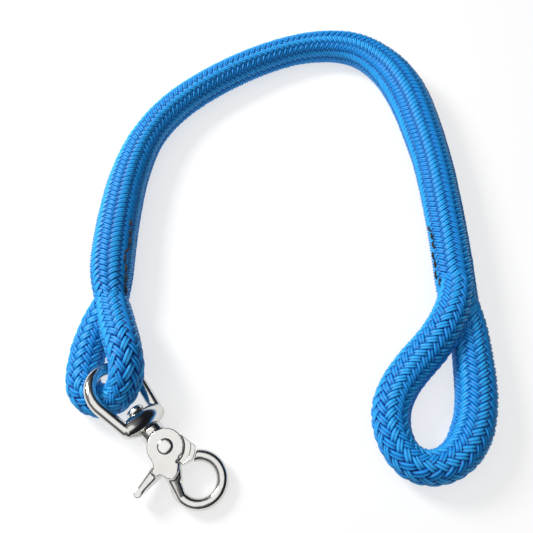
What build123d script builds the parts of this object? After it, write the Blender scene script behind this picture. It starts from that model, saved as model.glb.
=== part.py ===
"""Rope lead: a short double-braid rope with a spliced eye at each end.

The large eye is the hand loop. The small eye holds the bail of a swivel trigger snap.
Millimetres, +Z up. The lead lies on the plane z = 0, and the origin is at the centre of
its footprint.
"""
from build123d import *
from math import acos, atan2, cos, degrees, hypot, pi, radians, sin, tan
import os

# ---------------------------------------------------------------- rope, driving sizes
SPLICE_D = 17.4          # rope where the tails are buried, next to each throat
STANDING_D = 14.8        # rope between the two splices
HAND_LOOP_D = 13.2
SNAP_EYE_D = 12.2
COVER_WALL = 1.8         # braided cover, flattened over the core
TAIL_D = 7.0             # buried cover tail, inside the core
FILLET_SHARE = 0.45      # share of the shorter run that each arc takes

# Routes of the rope's centreline, one point a corner.
SNAP_EYE = [
    (-64.6, -38.3, 8.7), (-67.6, -45.3, 7.5), (-70.6, -53.9, 6.4), (-71.5, -62.5, 6.4),
    (-71.6, -71.2, 6.4), (-68.4, -75.9, 6.4), (-62.3, -77.8, 7.0), (-56.6, -75.6, 9.4),
    (-53.5, -70.0, 15.2), (-55.6, -61.6, 16.8), (-60.6, -50.7, 12.2), (-64.5, -38.5, 9.2),
]
BODY = [
    (-64.5, -38.5, 9.2), (-66.4, -27.5, 8.8), (-66.9, -14.1, 8.8), (-66.5, 4.1, 8.8),
    (-64.8, 23.5, 8.8), (-59.6, 44.2, 8.8), (-48.9, 63.6, 7.5), (-30.9, 80.7, 7.5),
    (-7.7, 96.1, 7.5), (16.4, 105.5, 7.5), (38.9, 103.1, 8.8), (53.8, 88.4, 8.9),
    (61.7, 68.6, 8.8), (65.1, 47.9, 8.8), (67.6, 26.5, 8.8), (68.1, 6.1, 8.8),
    (68.3, -13.6, 8.8), (67.7, -31.0, 8.9), (66.5, -39.6, 9.6),
]
HAND_LOOP = [
    (66.5, -39.6, 9.6), (60.6, -50.4, 12.4), (54.5, -58.2, 10.6), (47.0, -65.5, 8.0),
    (40.6, -73.6, 6.9), (37.2, -82.8, 6.7), (38.6, -93.1, 6.7), (44.2, -99.7, 6.7),
    (52.8, -100.3, 6.7), (61.0, -95.2, 6.7), (66.6, -85.8, 6.8), (69.3, -74.0, 6.8),
    (70.0, -61.9, 6.8), (70.5, -50.0, 6.9), (69.6, -39.9, 7.8),
]
SNAP_EYE_JOIN = 2        # the run in whose middle the two legs of the eye meet
HAND_LOOP_JOIN = 7
SPLICE_A_END = 4         # the run in whose middle the splice next to the snap ends
SPLICE_B_START = 10

# Lock stitching: black thread along the side of each splice that faces the other.
STITCH_D = 1.1
STITCH_LENGTH = 4.4
STITCH_PITCH = 5.2
STITCH_COUNT = 6
STITCH_FIRST = 4.0       # from the throat to the first stitch's middle
STITCH_ANGLE_A = 55.0    # round the rope from straight up, towards the other rope
STITCH_ANGLE_B = 75.0
STITCH_GAP = 0.05        # the thread lies on the cover

# ---------------------------------------------------------------- snap, driving sizes
SNAP_YAW = -46.0         # swivel axis in plan, from +X
SNAP_DIP = 9.0           # the hook end lies lower than the bail end
BAIL_ROLL = 33.0         # the bail leans: one bar over the rope, one under it
PIVOT = (-39.8, -93.5, 6.4)

RING_CENTRE = (15.4, 1.6)    # along the swivel axis and across it, from the rivet
RING_R = 7.85
RING_BAR_D = 4.1
NOSE_ANGLE = 156.0           # where the hook's ring starts, at the nose
ARM_ANGLE = -140.0           # where the ring turns into the arm of the lever
ARM_LENGTH = 2.2
WEB = [(-2.0, -5.8), (1.5, -6.5), (2.9, -7.2), (3.4, -8.6), (5.5, -8.4), (6.0, -6.8), (8.6, -6.0),
       (10.0, -4.6), (9.2, -2.2), (7.9, -0.9), (5.6, -0.6), (0.0, 0.0)]

CHEEK_R = 6.15
CHEEK_OUT = 4.4              # outer face of each cheek, from the middle plane
CHEEK_IN = 2.4
TONGUE_R = 5.5
TONGUE_HALF = 2.1
SLOT_R = 5.9
TAIL_ROOT = (4.3, -7.4)
TAIL_TIP = (5.2, -16.0)
TAIL_ROOT_W = 2.2
TAIL_TIP_W = 2.7
TAIL_HALF = 2.4

RIVET_D = 3.2
RIVET_HEAD_D = 5.4
RIVET_HEAD_T = 0.8
RIVET_CLEARANCE = 0.05

SPRING_WIRE_D = 0.7
SPRING_TURNS = 2.5
SPRING_PITCH = 0.78
SPRING_R = 2.5
SPRING_LEG = 2.6
POCKET_R = 3.3
POCKET_DEPTH = 2.9

NECK_R = 4.2
NECK_TOP = -8.2              # along the swivel axis
KNUCKLE = [(-2.0, 4.9), (0.2, 6.5), (3.6, 7.1), (5.6, 7.5), (9.0, 8.0), (11.5, 4.6),
           (9.32, 3.9), (8.3, 0.6), (5.0, 0.2), (0.0, 0.0)]
KNUCKLE_HALF = 2.7
KNUCKLE_RIB_HALF = 3.2
KNUCKLE_RIB_R = 8.5          # the rib runs from here to the seat
CHEEK_ROOM_R = 6.45          # the fixed body is a tongue inside this radius
SEAT_R = 10.1                # round face of the knuckle, about the rivet
NOSE_GAP = 0.3

BAIL_BAR_D = 4.3
BAIL_HALF = 10.0             # radius of the bow
BAIL_ROOT_HALF = 7.4         # bar centre from the swivel axis, at the barrel
BARREL_U = -12.0             # middle of the bail's barrel, along the swivel axis
BARREL_R = 4.2
BARREL_END_R = 2.45
BARREL_HALF = 8.0
BARREL_FLAT = 3.6            # flats either side of the barrel for the neck and the pin head
BOW_U = -25.5                # centre of the bow
PIN_D = 4.0
PIN_CLEARANCE = 0.05
PIN_HEAD_D = 6.6
PIN_HEAD_T = 2.0
PIN_DEPTH = 5.0              # how far the pin is pressed into the neck
FACE_GAP = 0.15


# ---------------------------------------------------------------- rope
def corner_radii(points):
    """The largest arc that the two runs at each corner leave room for."""
    spots = [Vector(*point) for point in points]
    radii = []
    for before, corner, after in zip(spots, spots[1:], spots[2:]):
        shorter = min((corner - before).length, (after - corner).length)
        turn = (corner - before).get_angle(after - corner)
        radii.append(FILLET_SHARE * shorter / tan(radians(turn) / 2))
    return radii


def split(points, run):
    """Two shorter routes that meet in the middle of one run."""
    join = tuple((near + far) / 2 for near, far in zip(points[run], points[run + 1]))
    return points[:run + 1] + [join], [join] + points[run + 1:]


def rope_path(points):
    return FilletPolyline(*points, radius=corner_radii(points))


def tube(points, diameter):
    path = rope_path(points)
    section = Plane(origin=path @ 0, z_dir=path % 0) * Circle(diameter / 2)
    return sweep(section, path)


def loop_solid(points, join, diameter):
    """Both legs of an eye, joined where they meet at the bend and at the throat."""
    first, second = split(points, join)
    return tube(first, diameter) + tube(second, diameter)


def stitch_row(points, cover_d, angle, forwards):
    """Short stitches along the cover, from the throat. angle is from +Z towards +X."""
    path = rope_path(points)
    out = cover_d / 2 + STITCH_D / 2 + STITCH_GAP
    row = []
    for index in range(STITCH_COUNT):
        place = (STITCH_FIRST + index * STITCH_PITCH) / path.length
        at = place if forwards else 1 - place
        along = path % at
        across = along.cross(Vector(0, 0, 1)).normalized()
        if across.X < 0:
            across = -across
        up = across.cross(along)
        if up.Z < 0:
            up = -up
        side = up * cos(radians(angle)) + across * sin(radians(angle))
        middle = path @ at + side * out
        straight = STITCH_LENGTH - STITCH_D
        bar = Plane(middle, z_dir=along) * Cylinder(STITCH_D / 2, straight)
        for end in (-straight / 2, straight / 2):
            bar += Pos(*(middle + along * end)) * Sphere(STITCH_D / 2)
        row.append(bar)
    return Compound(row)


# ---------------------------------------------------------------- snap frame
def snap_plane():
    """x along the swivel axis towards the hook, y across it, z along the rivet."""
    along = Vector(cos(radians(SNAP_YAW)) * cos(radians(SNAP_DIP)),
                   sin(radians(SNAP_YAW)) * cos(radians(SNAP_DIP)),
                   -sin(radians(SNAP_DIP)))
    across = Vector(-sin(radians(SNAP_YAW)), cos(radians(SNAP_YAW)), 0)
    return Plane(origin=PIVOT, x_dir=along, z_dir=along.cross(across))


SNAP = snap_plane()
BAIL_FRAME = SNAP * Rot(X=-BAIL_ROLL)


def disc(radius, low, high):
    return Pos(0, 0, (low + high) / 2) * Cylinder(radius, high - low)


def prism(points, low, high):
    outline = make_face(Polyline(*points, close=True))
    return Pos(0, 0, low) * extrude(outline, high - low)


def hook_ring():
    """The hook's round bar: from the nose round the ring and into the lever's web."""
    arc = CenterArc(RING_CENTRE, RING_R, NOSE_ANGLE, ARM_ANGLE - NOSE_ANGLE)
    arm = Line(arc @ 1, arc @ 1 + (arc % 1) * ARM_LENGTH)
    section = Plane(origin=arc @ 0, z_dir=arc % 0) * Circle(RING_BAR_D / 2)
    return sweep(section, Wire([arc, arm]))


def trigger_tail():
    root, tip = Vector(*TAIL_ROOT), Vector(*TAIL_TIP)
    along = (tip - root).normalized()
    side = Vector(-along.Y, along.X)
    corners = [root + side * TAIL_ROOT_W / 2, tip + side * TAIL_TIP_W / 2,
               tip - side * TAIL_TIP_W / 2, root - side * TAIL_ROOT_W / 2]
    tail = prism([(corner.X, corner.Y) for corner in corners], -TAIL_HALF, TAIL_HALF)
    return tail + Pos(tip.X, tip.Y) * Cylinder(TAIL_TIP_W / 2, 2 * TAIL_HALF)


def hook_lever():
    """Two cheeks, trigger and hook in one casting, slotted for the body's tongue."""
    lever = disc(CHEEK_R, -CHEEK_OUT, CHEEK_OUT) + prism(WEB, -CHEEK_OUT, CHEEK_OUT)
    lever = lever + trigger_tail() + hook_ring()
    slot = disc(SLOT_R, -CHEEK_IN, CHEEK_IN)
    mouth = prism([(0, 0), (13, -0.4), (13, 13), (-13, 13), (-13, -13), (-1.2, -13)],
                  -CHEEK_IN, CHEEK_IN)
    nose_room = disc(SEAT_R + NOSE_GAP, -CHEEK_OUT, CHEEK_OUT) & prism(
        [(5.5, 1.2), (13, 1.2), (13, 13), (5.5, 13)], -CHEEK_OUT, CHEEK_OUT)
    mouth = mouth & disc(SEAT_R + NOSE_GAP, -CHEEK_IN, CHEEK_IN)
    hole = Cylinder(RIVET_D / 2, 4 * CHEEK_OUT)
    return SNAP * (lever - slot - mouth - nose_room - hole)


def snap_body():
    """Neck, tongue and knuckle of the fixed body, with the pocket for the spring."""
    neck = Rot(Y=90) * Cylinder(NECK_R, -NECK_TOP, align=(Align.CENTER, Align.CENTER, Align.MIN))
    neck = Pos(NECK_TOP, 0, 0) * neck
    knuckle = prism(KNUCKLE, -KNUCKLE_HALF, KNUCKLE_HALF) & disc(SEAT_R, -6, 6)
    rib = prism(KNUCKLE, -KNUCKLE_RIB_HALF, KNUCKLE_RIB_HALF) & disc(SEAT_R, -6, 6)
    rib = rib - disc(KNUCKLE_RIB_R, -6, 6)
    body = neck + knuckle + rib + disc(TONGUE_R, -TONGUE_HALF, TONGUE_HALF)
    for low, high in ((TONGUE_HALF, 9), (-9, -TONGUE_HALF)):
        body = body - disc(CHEEK_ROOM_R, low, high)
    pocket = disc(POCKET_R, TONGUE_HALF - POCKET_DEPTH, TONGUE_HALF)
    leg_slot = Pos(-SPRING_LEG / 2 - 0.3, -SPRING_R, TONGUE_HALF - POCKET_DEPTH / 2) * Box(
        SPRING_LEG + 0.6, SPRING_WIRE_D + 0.3, POCKET_DEPTH)
    hole = Cylinder(RIVET_D / 2 + RIVET_CLEARANCE, 30)
    pin_hole = Pos(NECK_TOP, 0, 0) * Rot(Y=90) * Cylinder(
        PIN_D / 2, PIN_DEPTH, align=(Align.CENTER, Align.CENTER, Align.MIN))
    return SNAP * (body - pocket - leg_slot - hole - pin_hole)


def pivot_rivet():
    """Round rivet with a low domed head on each cheek."""
    shank = Cylinder(RIVET_D / 2, 2 * CHEEK_OUT)
    rivet = shank
    for side in (1, -1):
        head = Pos(0, 0, side * (CHEEK_OUT + RIVET_HEAD_T / 2)) * Cylinder(
            RIVET_HEAD_D / 2, RIVET_HEAD_T)
        outer = head.faces().sort_by(Axis.Z)[-1 if side > 0 else 0]
        rivet = rivet + fillet(outer.edges(), RIVET_HEAD_T * 0.7)
    return SNAP * rivet


def torsion_spring():
    """Closed coil round the rivet, with one leg in the body's slot."""
    height = SPRING_TURNS * SPRING_PITCH
    coil = Helix(SPRING_PITCH, height, SPRING_R)
    section = Plane(origin=coil @ 0, z_dir=coil % 0) * Circle(SPRING_WIRE_D / 2)
    spring = sweep(section, coil, is_frenet=True)
    spring = spring + Plane(coil @ 0, z_dir=-(coil % 0)) * Cylinder(
        SPRING_WIRE_D / 2, SPRING_LEG, align=(Align.CENTER, Align.CENTER, Align.MIN))
    floor = TONGUE_HALF - POCKET_DEPTH + SPRING_WIRE_D / 2 + 0.08
    return SNAP * Pos(0, 0, floor) * Rot(Z=-90) * spring


# ---------------------------------------------------------------- bail
def bail_bar():
    """The bail's round bar: two straight sides that meet the bow at a tangent."""
    gap = BARREL_U - BOW_U
    spread = degrees(atan2(BAIL_ROOT_HALF, gap) + acos(BAIL_HALF / hypot(gap, BAIL_ROOT_HALF)))
    bow = CenterArc((BOW_U, 0), BAIL_HALF, -spread, 2 * spread - 360)
    left = Line((BARREL_U, -BAIL_ROOT_HALF), bow @ 0)
    right = Line(bow @ 1, (BARREL_U, BAIL_ROOT_HALF))
    section = Plane(origin=left @ 0, z_dir=left % 0) * Circle(BAIL_BAR_D / 2)
    return sweep(section, Wire([left, bow, right]))


def barrel():
    """Swollen base of the bail, a round body about the line across the swivel axis."""
    bulge = ThreePointArc((BARREL_END_R, -BARREL_HALF), (BARREL_R, 0), (BARREL_END_R, BARREL_HALF))
    top = Line((BARREL_END_R, BARREL_HALF), (0, BARREL_HALF))
    core = Line((0, BARREL_HALF), (0, -BARREL_HALF))
    bottom = Line((0, -BARREL_HALF), (BARREL_END_R, -BARREL_HALF))
    solid = revolve(make_face([bulge, top, core, bottom]), Axis.Y)
    for end in (-1, 1):
        solid = solid + Pos(0, end * BARREL_HALF) * scale(Sphere(BARREL_END_R), (1, 0.5, 1))
    return Pos(BARREL_U, 0, 0) * solid


def snap_bail():
    bail = bail_bar() + barrel()
    for side in (1, -1):
        flat = Pos(BARREL_U + side * (BARREL_FLAT + 5), 0, 0) * Box(10, 9.2, 12)
        bail = bail - flat
    hole = Pos(BARREL_U, 0, 0) * Rot(Y=90) * Cylinder(PIN_D / 2 + PIN_CLEARANCE, 14)
    return BAIL_FRAME * (bail - hole)


def swivel_pin():
    """Headed pin through the barrel, pressed into the neck."""
    head_face = BARREL_U - BARREL_FLAT - FACE_GAP
    length = NECK_TOP + PIN_DEPTH - head_face
    upright = (Align.CENTER, Align.CENTER, Align.MIN)
    shank = Cylinder(PIN_D / 2, length, align=upright)
    head = Pos(0, 0, -PIN_HEAD_T) * Cylinder(PIN_HEAD_D / 2, PIN_HEAD_T, align=upright)
    head = fillet(head.faces().sort_by(Axis.Z)[0].edges(), PIN_HEAD_T * 0.8)
    return SNAP * Pos(head_face, 0, 0) * Rot(Y=90) * (head + shank)


# ---------------------------------------------------------------- build
def body_parts():
    """The standing part and the two splices that its ends are buried in."""
    splice_a, rest = split(BODY, SPLICE_A_END)
    standing, splice_b = split(rest, SPLICE_B_START - SPLICE_A_END)
    parts = {
        "standing_cover": tube(standing, STANDING_D) - tube(standing, STANDING_D - 2 * COVER_WALL),
        "standing_core": tube(standing, STANDING_D - 2 * COVER_WALL),
    }
    for end, points in (("a", splice_a), ("b", splice_b)):
        inner = tube(points, SPLICE_D - 2 * COVER_WALL)
        tail = tube(points, TAIL_D)
        parts["splice_cover_" + end] = tube(points, SPLICE_D) - inner
        parts["splice_core_" + end] = inner - tail
        parts["buried_tail_" + end] = tail
    parts["lock_stitches_a"] = stitch_row(splice_a, SPLICE_D, STITCH_ANGLE_A, True)
    parts["lock_stitches_b"] = stitch_row(splice_b, SPLICE_D, -STITCH_ANGLE_B, False)
    return parts, tube(splice_a, SPLICE_D), tube(splice_b, SPLICE_D)


def eye_parts(points, join, diameter, splice):
    """Cover and core of an eye, less the splice that its legs run into."""
    outer = loop_solid(points, join, diameter) - splice
    inner = loop_solid(points, join, diameter - 2 * COVER_WALL) - splice
    return outer - inner, inner


def rope_parts():
    parts, splice_a, splice_b = body_parts()
    parts["snap_eye_cover"], parts["snap_eye_core"] = eye_parts(
        SNAP_EYE, SNAP_EYE_JOIN, SNAP_EYE_D, splice_a)
    parts["hand_loop_cover"], parts["hand_loop_core"] = eye_parts(
        HAND_LOOP, HAND_LOOP_JOIN, HAND_LOOP_D, splice_b)
    return parts


def snap_parts():
    return {
        "snap_bail": snap_bail(), "swivel_pin": swivel_pin(), "snap_body": snap_body(),
        "hook_lever": hook_lever(), "pivot_rivet": pivot_rivet(),
        "torsion_spring": torsion_spring(),
    }


def print_rope_facts():
    total = 0
    for name, points in (("snap eye", SNAP_EYE), ("body", BODY), ("hand loop", HAND_LOOP)):
        length = rope_path(points).length
        total += length
        radii = ", ".join(f"{radius:.0f}" for radius in corner_radii(points))
        print(f"{name}: {length:.1f} long, arcs of {radii}")
    section = pi * TAIL_D ** 2 / 4
    error = tube(BODY, TAIL_D).volume / (section * rope_path(BODY).length) - 1
    print(f"whole rope: {total:.0f} mm, tube volume off by {error:.3%}")


os.makedirs("parts", exist_ok=True)
everything = rope_parts() | snap_parts()
for node, shape in everything.items():
    export_step(shape, f"parts/{node}.step")
    print(node, len(shape.solids()), round(shape.volume, 1))
print_rope_facts()
box = Compound(list(everything.values())).bounding_box()
print("box", box.min, box.max)
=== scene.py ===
import bmesh
import bpy
import math
import numpy as np
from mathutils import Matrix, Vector


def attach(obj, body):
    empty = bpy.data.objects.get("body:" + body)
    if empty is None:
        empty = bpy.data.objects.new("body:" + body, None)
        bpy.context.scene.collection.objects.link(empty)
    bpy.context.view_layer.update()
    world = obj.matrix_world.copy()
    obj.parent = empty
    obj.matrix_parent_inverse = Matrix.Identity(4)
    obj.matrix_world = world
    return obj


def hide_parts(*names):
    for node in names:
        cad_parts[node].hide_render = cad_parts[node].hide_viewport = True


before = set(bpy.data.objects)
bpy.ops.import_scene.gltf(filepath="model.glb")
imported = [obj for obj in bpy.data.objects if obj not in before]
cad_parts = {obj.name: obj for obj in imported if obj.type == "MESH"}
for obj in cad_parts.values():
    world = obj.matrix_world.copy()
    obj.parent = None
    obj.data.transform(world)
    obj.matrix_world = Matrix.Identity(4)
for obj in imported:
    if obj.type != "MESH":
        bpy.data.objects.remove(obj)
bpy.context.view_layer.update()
MM = 0.001

# ---------------------------------------------------------------- routes, in mm
# CAD's points. At the hand loop's throat the body and the loop are led further into each other.
SNAP_EYE = [
    (-64.6, -38.3, 8.7), (-67.6, -45.3, 7.5), (-70.6, -53.9, 6.4), (-71.5, -62.5, 6.4),
    (-71.6, -71.2, 6.4), (-68.4, -75.9, 6.4), (-62.3, -77.8, 7.0), (-56.6, -75.6, 9.4),
    (-53.5, -70.0, 15.2), (-55.6, -61.6, 16.8), (-60.6, -50.7, 12.2), (-64.5, -38.5, 9.2),
]
BODY = [
    (-64.5, -38.5, 9.2), (-66.4, -27.5, 8.8), (-66.9, -14.1, 8.8), (-66.5, 4.1, 8.8),
    (-64.8, 23.5, 8.8), (-59.6, 44.2, 8.8), (-48.9, 63.6, 7.5), (-30.9, 80.7, 7.5),
    (-7.7, 96.1, 7.5), (16.4, 105.5, 7.5), (38.9, 103.1, 8.8), (53.8, 88.4, 8.9),
    (61.7, 68.6, 8.8), (65.1, 47.9, 8.8), (67.6, 26.5, 8.8), (68.1, 6.1, 8.8),
    (68.3, -13.6, 8.8), (67.7, -31.0, 8.9), (67.9, -39.0, 8.4), (68.9, -45.5, 7.4),
]
HAND_LOOP = [
    (67.6, -31.0, 10.4), (66.0, -39.6, 11.6), (60.6, -50.4, 12.4), (54.5, -58.2, 10.6), (47.0, -65.5, 8.0),
    (40.6, -73.6, 6.9), (37.2, -82.8, 6.7), (38.6, -93.1, 6.7), (44.2, -99.7, 6.7),
    (52.8, -100.3, 6.7), (61.0, -95.2, 6.7), (66.6, -85.8, 6.8), (69.3, -74.0, 6.8),
    (70.0, -61.9, 6.8), (70.5, -50.0, 6.9), (69.3, -39.9, 7.9),
]

# Rope thickness along each route: distance from the route's start and diameter, in mm.
BODY_WIDTHS = [
    (0, 12.6), (6, 15.6), (14, 17.6), (25, 17.8), (50, 17.2), (68, 16.2), (85, 14.8), (173, 14.6),
    (189, 15.1), (204, 15.9), (217, 16.9), (230, 18.4), (244, 19.0), (269, 17.9), (283, 16.9),
    (323, 15.9), (345, 15.6), (353, 15.0), (359, 14.0), (363, 12.6),
]
EYE_WIDTHS = [
    (0, 12.2), (8, 13.4), (24, 13.2), (36, 12.5), (52, 12.0), (64, 12.5), (78, 13.9), (88, 13.6),
    (94, 12.2),
]
LOOP_WIDTHS = [
    (0, 12.4), (8, 13.2), (17, 13.8), (38, 14.4), (60, 13.9), (73, 12.4), (86, 11.9), (94, 12.8),
    (105, 14.6), (125, 15.0), (146, 14.0), (155, 12.6),
]

# ---------------------------------------------------------------- braid, in mm
CARRIERS = 12                 # strands each way round
COLUMNS = 6                   # columns of floats each way round
STRAND_TURN = 58.5            # length of strand in one turn round the rope
LAY_LEAST = 28.0              # shortest length of rope that a strand takes for a turn
STRAND_HALF_T = 0.55          # half a strand's thickness
WEAVE_LIFT = 0.55             # how far a strand rises and dives about its middle
WEAVE_SHARPNESS = 1.5
STRAND_FILL = 0.50            # half a strand's width, as a share of the room it has
# Across a strand of two yarns: place, height, and how much of the light reaches there.
RIBS = ((-1.0, -0.9, 0.05), (-0.78, 0.35, 0.7), (-0.45, 1.0, 1.0), (0.0, 0.0, 0.45), (0.45, 1.0, 1.0),
        (0.78, 0.35, 0.7), (1.0, -0.9, 0.05))
FLOAT_SPREAD = 0.06           # how much wider a strand is where it lies on top
STRAND_BAND = 3.0             # each strand's share of the fibre pattern
CORE_SIDES = 20
CORE_STRIDE = 3               # the core has a ring at every third sample of the line
CORE_INSET = 1.9
LOOSENESS = 0.05              # how unevenly the strands are pulled
LOOSE_SPOTS = 40
FLOOR_CLEAR = 0.1             # the rope flattens where it rests


# ---------------------------------------------------------------- lines
SPLINE_STEPS = 24             # straight pieces between two control points
LINE_REACH = 2                # samples each side that a point of a line is averaged with
WIDTH_REACH = 6               # the same for the rope's width


def running_mean(values, reach, **padding):
    """Each value averaged with its neighbours up to reach away."""
    count = 2 * reach + 1
    return np.convolve(np.pad(values, reach, **padding), np.ones(count) / count, "valid")


def spline_points(name, route):
    """The smooth line of a route, in mm: a NURBS spline with the route's points as its control points."""
    curve = bpy.data.curves.new(name, "CURVE")
    curve.dimensions = "3D"
    spline = curve.splines.new("NURBS")
    spline.points.add(len(route) - 1)
    for control, point in zip(spline.points, route):
        control.co = (point[0] * MM, point[1] * MM, point[2] * MM, 1)
    spline.order_u = 3
    spline.use_endpoint_u = True
    spline.resolution_u = SPLINE_STEPS
    holder = bpy.data.objects.new(name, curve)
    mesh = bpy.data.meshes.new_from_object(holder)
    line = np.array([vertex.co for vertex in mesh.vertices], float) / MM
    bpy.data.objects.remove(holder)
    bpy.data.curves.remove(curve)
    bpy.data.meshes.remove(mesh)
    return line


class Line:
    """A smooth line with a frame that doesn't twist, sampled every step mm.

    at is each sample's distance from the start, ways points along the line, and ups and sides across it.
    """

    def __init__(self, route, step):
        raw = spline_points("route", route)
        along = np.concatenate([[0], np.cumsum(np.linalg.norm(np.diff(raw, axis=0), axis=1))])
        self.length = along[-1]
        self.at = np.linspace(0, self.length, int(round(self.length / step)) + 1)
        even = [np.interp(self.at, along, raw[:, k]) for k in range(3)]
        smooth = [running_mean(row, LINE_REACH, mode="reflect", reflect_type="odd") for row in even]
        self.points = np.stack(smooth, axis=1)
        self.ways = np.gradient(self.points, axis=0)
        self.ways /= np.linalg.norm(self.ways, axis=1)[:, None]
        up = np.array([0.0, 0.0, 1.0])
        first = up - self.ways[0] * (up @ self.ways[0])
        self.ups = np.zeros_like(self.points)
        self.ups[0] = first / np.linalg.norm(first)
        for k in range(1, len(self.at)):
            carried = self.ups[k - 1] - self.ways[k] * (self.ups[k - 1] @ self.ways[k])
            self.ups[k] = carried / np.linalg.norm(carried)
        self.sides = np.cross(self.ways, self.ups)

    def radii(self, widths):
        places, wide = zip(*widths)
        return running_mean(np.interp(self.at, places, wide) / 2, WIDTH_REACH, mode="edge")

    def around(self, index, angle, radius):
        """Points at an angle round the line; index, angle and radius are arrays."""
        out = self.ups[index] * np.cos(angle)[:, None] + self.sides[index] * np.sin(angle)[:, None]
        return self.points[index] + out * radius[:, None], out


# ---------------------------------------------------------------- meshes
def mesh_object(name, vertices, quads, materials, slots=None, uvs=None, attributes=None):
    mesh = bpy.data.meshes.new(name)
    mesh.from_pydata((np.asarray(vertices) * MM).tolist(), [], [tuple(q) for q in quads])
    for material in materials:
        mesh.materials.append(material)
    if slots is not None:
        mesh.polygons.foreach_set("material_index", np.asarray(slots, np.int32))
    if uvs is not None:
        loops = np.zeros(len(mesh.loops), np.int32)
        mesh.loops.foreach_get("vertex_index", loops)
        layer = mesh.uv_layers.new(name="UVMap")
        layer.data.foreach_set("uv", np.asarray(uvs, np.float32)[loops].ravel())
    for key, values in (attributes or {}).items():
        made = mesh.attributes.new(key, "FLOAT", "POINT")
        made.data.foreach_set("value", np.asarray(values, np.float32))
    mesh.polygons.foreach_set("use_smooth", [True] * len(mesh.polygons))
    mesh.update()
    piece = bpy.data.objects.new(name, mesh)
    bpy.context.scene.collection.objects.link(piece)
    return piece


def grid_quads(rows, columns, start, closed=False):
    quads = []
    for i in range(rows - 1):
        for j in range(columns if closed else columns - 1):
            k = (j + 1) % columns
            near, far = start + i * columns, start + (i + 1) * columns
            quads.append((near + j, near + k, far + k, far + j))
    return quads


def braided_rope(name, line, radii, materials, phase=0.0):
    """A braided cover: strands two over and two under both ways, each of two yarns, on a dark core."""
    circumference = 2 * math.pi * radii
    lay = np.sqrt(np.maximum(STRAND_TURN ** 2 - circumference ** 2, LAY_LEAST ** 2))
    step = np.gradient(line.at)
    turned = np.cumsum(2 * math.pi / lay * step)
    index = np.arange(len(line.at))
    vertices, quads, slots, uvs, painted_lit_share = [], [], [], [], []
    count = 0
    rng = np.random.default_rng(7)
    for way in (1, -1):
        for carrier in range(CARRIERS):
            angle = way * turned + phase + 2 * math.pi * carrier / CARRIERS
            wave = way * np.cos(COLUMNS * (angle - phase) - math.pi / 4)
            weave = np.tanh(WEAVE_SHARPNESS * wave) / math.tanh(WEAVE_SHARPNESS)
            uneven = rng.normal(size=LOOSE_SPOTS)
            loose = LOOSENESS * np.interp(line.at, np.linspace(0, line.length, LOOSE_SPOTS), uneven)
            middle = radii - STRAND_HALF_T - WEAVE_LIFT + WEAVE_LIFT * weave + loose
            spots, out = line.around(index, angle, middle)
            along = np.gradient(spots, axis=0)
            along /= np.linalg.norm(along, axis=1)[:, None]
            side = np.cross(out, along)
            side /= np.linalg.norm(side, axis=1)[:, None]
            outward = np.cross(along, side)
            room = circumference / CARRIERS * lay / np.hypot(lay, circumference)
            half = STRAND_FILL * room * (1 + FLOAT_SPREAD * weave)
            travel = np.cumsum(np.hypot(step, radii * np.gradient(angle)))
            for rib, height, lit in RIBS:
                edge = spots + side * (half * rib)[:, None]
                vertices.append(edge + outward * (STRAND_HALF_T * height))
                band = STRAND_BAND * (carrier + rib / 2)
                uvs.append(np.stack([travel, np.full_like(travel, band)], axis=1))
                # Painted shade: the yarn's colour goes dark where the strand dives under the other way's
                # strands and in the grooves and edges of its yarns.
                painted_lit_share.append((weave * 0.5 + 0.5) * lit)
            rows, columns = len(index), len(RIBS)
            block = np.arange(rows * columns).reshape(columns, rows).T + count
            corners = np.stack([block[:-1, :-1], block[:-1, 1:], block[1:, 1:], block[1:, :-1]], axis=-1)
            made = corners.reshape(-1, 4)
            quads.append(made)
            # One way round takes the lighter copy of the yarn and the other way the darker one, a painted
            # sheen.
            slots.append(np.full(len(made), 0 if way == 1 else 1))
            count += rows * columns
    core_steps = index[::CORE_STRIDE]
    if core_steps[-1] != index[-1]:
        core_steps = np.append(core_steps, index[-1])
    ring = 2 * math.pi * np.arange(CORE_SIDES) / CORE_SIDES
    for k in core_steps:
        spots, _ = line.around(np.full(CORE_SIDES, k), ring, np.full(CORE_SIDES, radii[k] - CORE_INSET))
        vertices.append(spots)
        uvs.append(np.stack([np.full(CORE_SIDES, line.at[k]), ring], axis=1))
        painted_lit_share.append(np.zeros(CORE_SIDES))
    core = np.array(grid_quads(len(core_steps), CORE_SIDES, count, closed=True))
    quads.append(core)
    slots.append(np.full(len(core), 2))
    count += len(core_steps) * CORE_SIDES
    for end, order in ((core_steps[0], 1), (core_steps[-1], -1)):
        first = count - len(core_steps) * CORE_SIDES if order == 1 else count - CORE_SIDES
        fan = [(first + j, first + (j + 1) % CORE_SIDES, first + CORE_SIDES - 1 - (j + 1) % CORE_SIDES,
                first + CORE_SIDES - 1 - j) for j in range(CORE_SIDES // 2 - 1)]
        quads.append(np.array(fan))
        slots.append(np.full(len(fan), 2))
    vertices = np.concatenate(vertices)
    vertices[:, 2] = np.maximum(vertices[:, 2], FLOOR_CLEAR)
    return mesh_object(name, vertices, np.concatenate(quads).tolist(), materials,
                       np.concatenate(slots), np.concatenate(uvs), {"painted_lit_share": np.concatenate(painted_lit_share)})


# ---------------------------------------------------------------- materials
def node_material(name):
    material = bpy.data.materials.new(name)
    material.use_nodes = True
    tree = material.node_tree
    return material, tree, tree.nodes["Principled BSDF"]


def add(tree, kind, **values):
    node = tree.nodes.new(kind)
    for key, value in values.items():
        setattr(node, key, value)
    return node


def colour_ramp(tree, low, high, start=0.0, end=1.0):
    ramp = add(tree, "ShaderNodeValToRGB")
    for element, place, colour in zip(ramp.color_ramp.elements, (start, end), (low, high)):
        element.position = place
        element.color = (*colour, 1)
    return ramp


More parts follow.
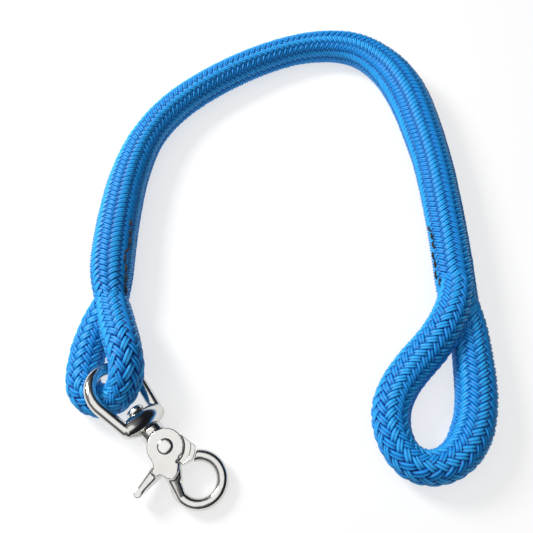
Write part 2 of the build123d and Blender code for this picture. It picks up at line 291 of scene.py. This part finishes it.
def yarn_material(name, shade, deep, light):
    """Silky polyester yarn: painted shade darkens the colour where a strand dives and in its grooves, and
    fine fibre streaks along it are lighter on the lit crests as a painted sheen.
    """
    material, tree, shader = node_material(name)
    link = tree.links.new
    coords = add(tree, "ShaderNodeUVMap", uv_map="UVMap")
    stretch = add(tree, "ShaderNodeMapping")
    stretch.inputs["Scale"].default_value = (0.35, 9.0, 1.0)
    fibres = add(tree, "ShaderNodeTexNoise")
    fibres.inputs["Scale"].default_value = 1.0
    fibres.inputs["Detail"].default_value = 3.0
    link(coords.outputs["UV"], stretch.inputs["Vector"])
    link(stretch.outputs["Vector"], fibres.inputs["Vector"])
    painted_lit_share = add(tree, "ShaderNodeAttribute", attribute_name="painted_lit_share")
    # Painted shade: the colour runs from the dark deep colour where little light reaches to the yarn's own
    # colour on the lit crests.
    painted_shade_ramp = colour_ramp(tree, deep, shade, 0.3, 0.85)
    link(painted_lit_share.outputs["Fac"], painted_shade_ramp.inputs["Fac"])
    # Fibre streaks in the light colour, a real fibre tone that is shown only where the painted lit share is
    # high, so it is also a painted sheen on the lit crests.
    fibre_and_sheen_mix = add(tree, "ShaderNodeMix", data_type="RGBA")
    fibre_and_sheen_mix.inputs["B"].default_value = (*light, 1)
    amount = add(tree, "ShaderNodeMapRange")
    amount.inputs["From Min"].default_value = 0.45
    amount.inputs["From Max"].default_value = 0.75
    amount.inputs["To Max"].default_value = 0.45
    link(fibres.outputs["Fac"], amount.inputs["Value"])
    shown = add(tree, "ShaderNodeMath", operation="MULTIPLY")
    link(amount.outputs["Result"], shown.inputs[0])
    link(painted_lit_share.outputs["Fac"], shown.inputs[1])
    link(shown.outputs["Value"], fibre_and_sheen_mix.inputs["Factor"])
    link(painted_shade_ramp.outputs["Color"], fibre_and_sheen_mix.inputs["A"])
    link(fibre_and_sheen_mix.outputs["Result"], shader.inputs["Base Color"])
    bump = add(tree, "ShaderNodeBump")
    bump.inputs["Strength"].default_value = 0.35
    bump.inputs["Distance"].default_value = 0.0002
    link(fibres.outputs["Fac"], bump.inputs["Height"])
    link(bump.outputs["Normal"], shader.inputs["Normal"])
    shader.inputs["Roughness"].default_value = 0.42
    shader.inputs["Specular IOR Level"].default_value = 0.2
    shader.inputs["Sheen Weight"].default_value = 0.08
    shader.inputs["Sheen Roughness"].default_value = 0.4
    return material


def core_material():
    material, tree, shader = node_material("rope_shadow_core")
    noise = add(tree, "ShaderNodeTexNoise")
    noise.inputs["Scale"].default_value = 900.0
    ramp = colour_ramp(tree, (0.001, 0.008, 0.07), (0.003, 0.03, 0.2))
    tree.links.new(noise.outputs["Fac"], ramp.inputs["Fac"])
    tree.links.new(ramp.outputs["Color"], shader.inputs["Base Color"])
    shader.inputs["Roughness"].default_value = 0.8
    return material


def steel_material(name, dark, bright, rough_low, rough_high):
    """Polished cast stainless steel, with soft tumbling marks and a little unevenness."""
    material, tree, shader = node_material(name)
    link = tree.links.new
    coords = add(tree, "ShaderNodeTexCoord")
    cast = add(tree, "ShaderNodeTexNoise")
    cast.inputs["Scale"].default_value = 260.0
    cast.inputs["Detail"].default_value = 4.0
    fine = add(tree, "ShaderNodeTexNoise")
    fine.inputs["Scale"].default_value = 2600.0
    link(coords.outputs["Object"], cast.inputs["Vector"])
    link(coords.outputs["Object"], fine.inputs["Vector"])
    colour = colour_ramp(tree, dark, bright)
    link(cast.outputs["Fac"], colour.inputs["Fac"])
    link(colour.outputs["Color"], shader.inputs["Base Color"])
    rough = add(tree, "ShaderNodeMapRange")
    rough.inputs["To Min"].default_value = rough_low
    rough.inputs["To Max"].default_value = rough_high
    link(fine.outputs["Fac"], rough.inputs["Value"])
    link(rough.outputs["Result"], shader.inputs["Roughness"])
    bump = add(tree, "ShaderNodeBump")
    bump.inputs["Strength"].default_value = 0.12
    bump.inputs["Distance"].default_value = 0.0003
    link(cast.outputs["Fac"], bump.inputs["Height"])
    link(bump.outputs["Normal"], shader.inputs["Normal"])
    shader.inputs["Metallic"].default_value = 1.0
    return material


def thread_material():
    material, tree, shader = node_material("black_waxed_thread")
    wave = add(tree, "ShaderNodeTexWave", bands_direction="DIAGONAL")
    wave.inputs["Scale"].default_value = 900.0
    wave.inputs["Distortion"].default_value = 1.0
    coords = add(tree, "ShaderNodeTexCoord")
    tree.links.new(coords.outputs["Object"], wave.inputs["Vector"])
    ramp = colour_ramp(tree, (0.006, 0.006, 0.01), (0.035, 0.033, 0.036))
    tree.links.new(wave.outputs["Fac"], ramp.inputs["Fac"])
    tree.links.new(ramp.outputs["Color"], shader.inputs["Base Color"])
    shader.inputs["Roughness"].default_value = 0.5
    return material


def floor_material():
    material, tree, shader = node_material("pale_floor")
    noise = add(tree, "ShaderNodeTexNoise")
    noise.inputs["Scale"].default_value = 3.0
    ramp = colour_ramp(tree, (0.29, 0.29, 0.29), (0.31, 0.31, 0.31))
    tree.links.new(noise.outputs["Fac"], ramp.inputs["Fac"])
    tree.links.new(ramp.outputs["Color"], shader.inputs["Base Color"])
    shader.inputs["Roughness"].default_value = 0.9
    shader.inputs["Emission Color"].default_value = (1, 1, 1, 1)
    shader.inputs["Emission Strength"].default_value = 0.68
    return material


# Lighter and darker copies of one yarn: the two ways round are painted with the sheen that the silky yarn
# shows in one direction and not the other.
SHEEN_LIT_YARN = yarn_material("yarn_painted_sheen_bright", (0.022, 0.38, 0.86), (0.0, 0.02, 0.22), (0.06, 0.56, 0.98))
SHEEN_DIM_YARN = yarn_material("yarn_painted_sheen_dark", (0.010, 0.29, 0.76), (0.0, 0.015, 0.20), (0.03, 0.44, 0.92))
CORE = core_material()
STEEL = steel_material("cast_stainless", (0.62, 0.61, 0.58), (0.74, 0.73, 0.70), 0.13, 0.2)
RIVET_STEEL = steel_material("rivet_stainless", (0.66, 0.65, 0.62), (0.8, 0.79, 0.76), 0.1, 0.16)
WIRE_STEEL = steel_material("spring_wire", (0.38, 0.38, 0.38), (0.55, 0.55, 0.55), 0.3, 0.45)
THREAD = thread_material()
ROPE = [SHEEN_LIT_YARN, SHEEN_DIM_YARN, CORE]


# ---------------------------------------------------------------- rope pieces
def rope_piece(name, route, widths, step, nodes, phase=0.0):
    line = Line(route, step)
    piece = braided_rope(name, line, line.radii(widths), ROPE, phase)
    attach(piece, "rope")
    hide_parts(*nodes)
    return line


BODY_NODES = ["standing_cover", "standing_core"]
for end in "ab":
    BODY_NODES += ["splice_cover_" + end, "splice_core_" + end, "buried_tail_" + end]
EYE_NODES = ["snap_eye_cover", "snap_eye_core"]
LOOP_NODES = ["hand_loop_cover", "hand_loop_core"]
BODY_STEP = 0.62              # from one sample of a line to the next, in mm
EYE_STEP = 0.5
body_line = rope_piece("rope_body", BODY, BODY_WIDTHS, BODY_STEP, BODY_NODES,
                       phase=0.2)
rope_piece("snap_eye_rope", SNAP_EYE, EYE_WIDTHS, EYE_STEP, EYE_NODES)
rope_piece("hand_loop_rope", HAND_LOOP, LOOP_WIDTHS, EYE_STEP, LOOP_NODES)

# ---------------------------------------------------------------- lock stitches
STITCH_COUNT = 8
STITCH_PITCH = 4.3
STITCH_LENGTH = 4.2
STITCH_R = 0.45
STITCH_SIDES = 10
STITCH_STEPS = 14
STITCH_WANDER = 4             # spread of the stitches' places round the rope, in degrees
STITCH_SLANT = 5              # spread of their slants, in degrees round the rope
STITCH_SINK = 0.75            # how deep a stitch's ends go into the cover, in mm
STITCH_TIP = 0.45             # thread at a stitch's ends, as a share of its full radius
STITCH_BREADTH = 1.25


def stitch_row(name, node, from_start, first, degrees_up):
    """Short thread stitches laid on the cover along the side of a splice."""
    radii = body_line.radii(BODY_WIDTHS)
    rng = np.random.default_rng(3 if from_start else 4)
    vertices, quads = [], []
    for number in range(STITCH_COUNT):
        place = first + number * STITCH_PITCH
        place = place if from_start else body_line.length - place
        wander = math.radians(rng.normal() * STITCH_WANDER)
        slant = math.radians(rng.normal() * STITCH_SLANT)
        start = len(vertices)
        for step in range(STITCH_STEPS + 1):
            share = step / STITCH_STEPS
            at = place + (share - 0.5) * STITCH_LENGTH
            k = int(np.clip(np.searchsorted(body_line.at, at), 1, len(body_line.at) - 2))
            along = body_line.ways[k]
            across = np.cross(along, (0, 0, 1.0))
            across /= np.linalg.norm(across)
            across = across if across[0] > 0 else -across
            up = np.cross(across, along)
            up = up if up[2] > 0 else -up
            turn = math.radians(degrees_up) + wander + slant * (share - 0.5)
            out = up * math.cos(turn) + across * math.sin(turn)
            side = np.cross(out, along)
            dive = math.sin(math.pi * share) ** 0.5
            middle = body_line.points[k] + out * (radii[k] - STITCH_SINK + STITCH_SINK * dive)
            thick = STITCH_R * (STITCH_TIP + (1 - STITCH_TIP) * dive)
            for corner in range(STITCH_SIDES):
                angle = 2 * math.pi * corner / STITCH_SIDES
                twist = 1 + 0.10 * math.cos(3 * angle + 9 * share * math.pi)
                around = out * math.cos(angle) + side * math.sin(angle) * STITCH_BREADTH
                vertices.append(middle + around * thick * twist)
        quads += grid_quads(STITCH_STEPS + 1, STITCH_SIDES, start, closed=True)
        last = len(vertices) - STITCH_SIDES
        quads.append(tuple(range(start, start + STITCH_SIDES))[::-1])
        quads.append(tuple(range(last, last + STITCH_SIDES)))
    piece = mesh_object(name, vertices, quads, [THREAD])
    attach(piece, "rope")
    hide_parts(node)


stitch_row("lock_stitching_a", "lock_stitches_a", True, 1.5, 55)
stitch_row("lock_stitching_b", "lock_stitches_b", False, 9.0, -72)

# ---------------------------------------------------------------- snap
CAST_VOXEL = 0.00022          # metres
SMALL_VOXEL = 0.00014
MERGE_WITHIN = 2e-6
BLEND_SIDES = 24
BLEND_SQUARENESS = 0.6
RIVET_HEAD_R = 2.7
RIVET_HEAD_H = 0.8
RIVET_HEAD_SINK = 0.1         # the head starts this far inside the cheek
RIVET_SHANK_R = 1.6
RIVET_SIDES = 48
CHEEK_OUT = 4.4               # the lever's outer faces, from its middle plane

# The snap's own frame, as in CAD: the rivet's middle, along the snap, across it and up the rivet.
PIVOT = Vector((-39.8, -93.5, 6.4))
YAW = math.radians(-46.0)
DIP = math.radians(9.0)
ALONG = Vector((math.cos(YAW) * math.cos(DIP), math.sin(YAW) * math.cos(DIP), -math.sin(DIP)))
ACROSS = Vector((-math.sin(YAW), math.cos(YAW), 0.0))
RIVET_WAY = ALONG.cross(ACROSS)


def snap_point(along, across, height):
    """A point in the snap's own plane, from the rivet, in metres in the row frame."""
    return (PIVOT + ALONG * along + ACROSS * across + RIVET_WAY * height) * MM


def blend_between(work, first, second):
    """A solid that runs smoothly from one rounded section to the other.

    Each section is a place, a way across, a half width and a half height.
    """
    spots = []
    for (along, across), (side_along, side_across), half_width, half_height in (first, second):
        for step in range(BLEND_SIDES):
            angle = 2 * math.pi * step / BLEND_SIDES
            wide = math.copysign(abs(math.cos(angle)) ** BLEND_SQUARENESS, math.cos(angle)) * half_width
            high = math.copysign(abs(math.sin(angle)) ** BLEND_SQUARENESS, math.sin(angle)) * half_height
            place = snap_point(along + side_along * wide, across + side_across * wide, high)
            spots.append(work.verts.new(place))
    bmesh.ops.convex_hull(work, input=spots)


# Where the lever's plate runs into the hook's arm, down its right flank and into the trigger.
LEVER_BLENDS = (
    (((5.6, -4.6), (0.8, 0.6), 3.0, 4.4), ((9.6, -4.6), (0.5, 0.86), 2.5, 3.9)),
    (((7.6, -4.1), (0.6, 0.8), 2.7, 4.4), ((16.0, -6.23), (0.0, 1.0), 1.7, 2.0)),
    (((6.6, -0.4), (0.25, 0.97), 1.4, 4.4), ((11.0, -4.2), (0.5, 0.86), 2.0, 3.4)),
    (((3.9, -6.2), (1.0, 0.1), 2.5, 4.4), ((5.1, -15.5), (1.0, 0.08), 1.35, 2.5)),
)


def cast_piece(name, node, body, material, voxel, soften, blends=()):
    """The CAD node's shape as a casting: even mesh with softened edges."""
    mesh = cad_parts[node].data.copy()
    piece = bpy.data.objects.new(name, mesh)
    bpy.context.scene.collection.objects.link(piece)
    work = bmesh.new()
    work.from_mesh(mesh)
    bmesh.ops.remove_doubles(work, verts=work.verts, dist=MERGE_WITHIN)
    for first, second in blends:
        blend_between(work, first, second)
    work.to_mesh(mesh)
    work.free()
    remesh = piece.modifiers.new("even", "REMESH")
    remesh.mode = "VOXEL"
    remesh.voxel_size = voxel
    smooth = piece.modifiers.new("soften", "SMOOTH")
    smooth.factor = 0.5
    smooth.iterations = soften
    graph = bpy.context.evaluated_depsgraph_get()
    final = bpy.data.meshes.new_from_object(piece.evaluated_get(graph))
    piece.modifiers.clear()
    piece.data = final
    bpy.data.meshes.remove(mesh)
    final.materials.clear()
    final.materials.append(material)
    final.polygons.foreach_set("use_smooth", [True] * len(final.polygons))
    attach(piece, body)
    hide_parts(node)


cast_piece("bail_casting", "snap_bail", "bail", STEEL, CAST_VOXEL, 6)
cast_piece("hook_casting", "hook_lever", "hook", STEEL, CAST_VOXEL, 16, LEVER_BLENDS)
cast_piece("body_casting", "snap_body", "snap", STEEL, SMALL_VOXEL, 5)


def domed_rivet(name, node, body, material):
    """The rivet with a domed head on each cheek, turned round its own axis."""
    head = [(RIVET_HEAD_R * math.cos(math.radians(a)), CHEEK_OUT + RIVET_HEAD_H * math.sin(math.radians(a)))
            for a in range(0, 90, 9)]
    under = CHEEK_OUT - RIVET_HEAD_SINK
    upper = [(RIVET_SHANK_R, 0.0), (RIVET_SHANK_R, under), (RIVET_HEAD_R, under)] + head
    profile = [(r, -z) for r, z in upper[:0:-1]] + upper
    vertices = []
    for r, z in profile:
        for side in range(RIVET_SIDES):
            angle = 2 * math.pi * side / RIVET_SIDES
            vertices.append(snap_point(r * math.cos(angle), r * math.sin(angle), z) / MM)
    faces = grid_quads(len(profile), RIVET_SIDES, 0, closed=True)
    for row, way in ((0, -1), (len(profile) - 1, 1)):
        vertices.append(snap_point(0, 0, way * (CHEEK_OUT + RIVET_HEAD_H)) / MM)
        pole = len(vertices) - 1
        ring = [row * RIVET_SIDES + side for side in range(RIVET_SIDES)]
        faces += [(ring[side], ring[(side + 1) % RIVET_SIDES], pole)[::way] for side in range(RIVET_SIDES)]
    piece = mesh_object(name, vertices, faces, [material])
    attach(piece, body)
    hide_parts(node)


domed_rivet("rivet_head", "pivot_rivet", "hook", RIVET_STEEL)
cast_piece("pin_turned", "swivel_pin", "snap", RIVET_STEEL, SMALL_VOXEL, 2)
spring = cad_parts["torsion_spring"]
spring.data.materials.clear()
spring.data.materials.append(WIRE_STEEL)

# ---------------------------------------------------------------- floor, light and camera
FLOOR_SIZE = 40               # metres, and so are the lights' places and sizes
BRIGHT_WAY = Vector((-0.35, -0.1, 0.93)).normalized()   # the studio's bright side
bpy.ops.mesh.primitive_plane_add(size=FLOOR_SIZE)
floor = bpy.context.object
floor.name = "studio_floor"
floor.data.materials.append(floor_material())


def area_light(name, place, size, watts):
    data = bpy.data.lights.new(name, "AREA")
    data.shape = "RECTANGLE"
    data.size, data.size_y = size
    data.energy = watts
    lamp = bpy.data.objects.new(name, data)
    bpy.context.scene.collection.objects.link(lamp)
    lamp.location = place
    aim = Vector((0, 0, 0)) - Vector(place)
    lamp.rotation_euler = aim.to_track_quat("-Z", "Y").to_euler()


area_light("key", (-0.46, 0.25, 0.42), (0.22, 0.22), 5.4)
area_light("overhead", (-0.10, -0.12, 0.75), (0.90, 1.05), 2.76)


def studio_world():
    """Dim room that is brighter on one side, so that polished steel has something dark to reflect."""
    world = bpy.data.worlds.new("studio")
    world.use_nodes = True
    tree = world.node_tree
    coords = add(tree, "ShaderNodeTexCoord")
    facing = add(tree, "ShaderNodeVectorMath", operation="DOT_PRODUCT")
    facing.inputs[1].default_value = BRIGHT_WAY
    ramp = colour_ramp(tree, (0.03, 0.035, 0.05), (0.9, 0.92, 0.95), 0.3, 0.9)
    tree.links.new(coords.outputs["Generated"], facing.inputs[0])
    tree.links.new(facing.outputs["Value"], ramp.inputs["Fac"])
    tree.links.new(ramp.outputs["Color"], tree.nodes["Background"].inputs["Color"])
    tree.nodes["Background"].inputs["Strength"].default_value = 0.3
    return world


bpy.context.scene.world = studio_world()
bpy.context.scene.view_settings.view_transform = "Standard"

LENS = 40.5
CAMERA_PLACE = (-5.5 * MM, -142.0 * MM, 213.8 * MM)
CAMERA_TILT = 30              # degrees from straight down

camera_data = bpy.data.cameras.new("camera")
camera_data.lens = LENS
camera_data.sensor_width = 36
camera = bpy.data.objects.new("camera", camera_data)
camera.location = CAMERA_PLACE
camera.rotation_euler = (math.radians(CAMERA_TILT), 0, 0)
camera_data.clip_start = 0.005
bpy.context.scene.collection.objects.link(camera)
bpy.context.scene.camera = camera
